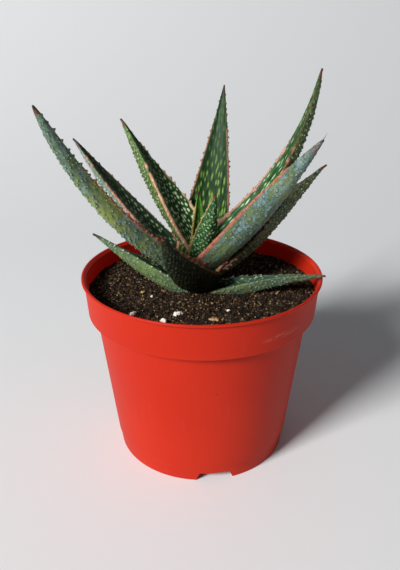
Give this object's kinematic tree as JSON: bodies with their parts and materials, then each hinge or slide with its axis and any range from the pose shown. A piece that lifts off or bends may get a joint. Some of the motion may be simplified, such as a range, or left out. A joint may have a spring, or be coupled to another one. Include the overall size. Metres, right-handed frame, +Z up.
{
  "type": "potted christmas carol aloe",
  "caption": "Young spotted aloe rosette with toothed, bumpy leaves, growing in soil in a tapered orange-red plastic nursery pot.",
  "frame": {"origin": "middle of the bottom of the bounding box, on the surface the pot stands on; the pot axis is within 2 mm of it", "axes": "+Z up along the pot axis, the pictured side faces -Y"},
  "size_m": [0.1268, 0.1208, 0.1914],
  "materials": {
    "pot_plastic": "satin moulded polypropylene",
    "potting_soil": "loose dark peat and bark mix",
    "leaf_blue_green": "waxy blue-green skin, red margin, pale raised tubercles",
    "leaf_spotted": "dark green skin with pale specks and an orange-red toothed margin",
    "leaf_young": "bright green skin with dense pale tubercles",
    "leaf_dark": "dark olive skin with small tubercles",
    "leaf_low": "green skin with pale bumps and cream teeth",
    "stem": "short fibrous stem",
    "perlite": "chalky expanded mineral",
    "bark": "pale broken bark",
    "twig": "dark dry twig"
  },
  "bodies": {
    "root": {"bark_chip": "bark", "leaf_01": "leaf_blue_green", "leaf_02": "leaf_spotted", "leaf_03": "leaf_spotted", "leaf_04": "leaf_spotted", "leaf_05": "leaf_spotted", "leaf_06": "leaf_blue_green", "leaf_07": "leaf_dark", "leaf_08": "leaf_young", "leaf_09": "leaf_young", "leaf_10": "leaf_dark", "leaf_11": "leaf_low", "leaf_12": "leaf_low", "perlite_1": "perlite", "perlite_2": "perlite", "perlite_3": "perlite", "perlite_4": "perlite", "perlite_5": "perlite", "pot": "pot_plastic", "soil": "potting_soil", "stem": "stem", "twig": "twig", "yellow_grain": "bark"}
  },
  "joints": []
}
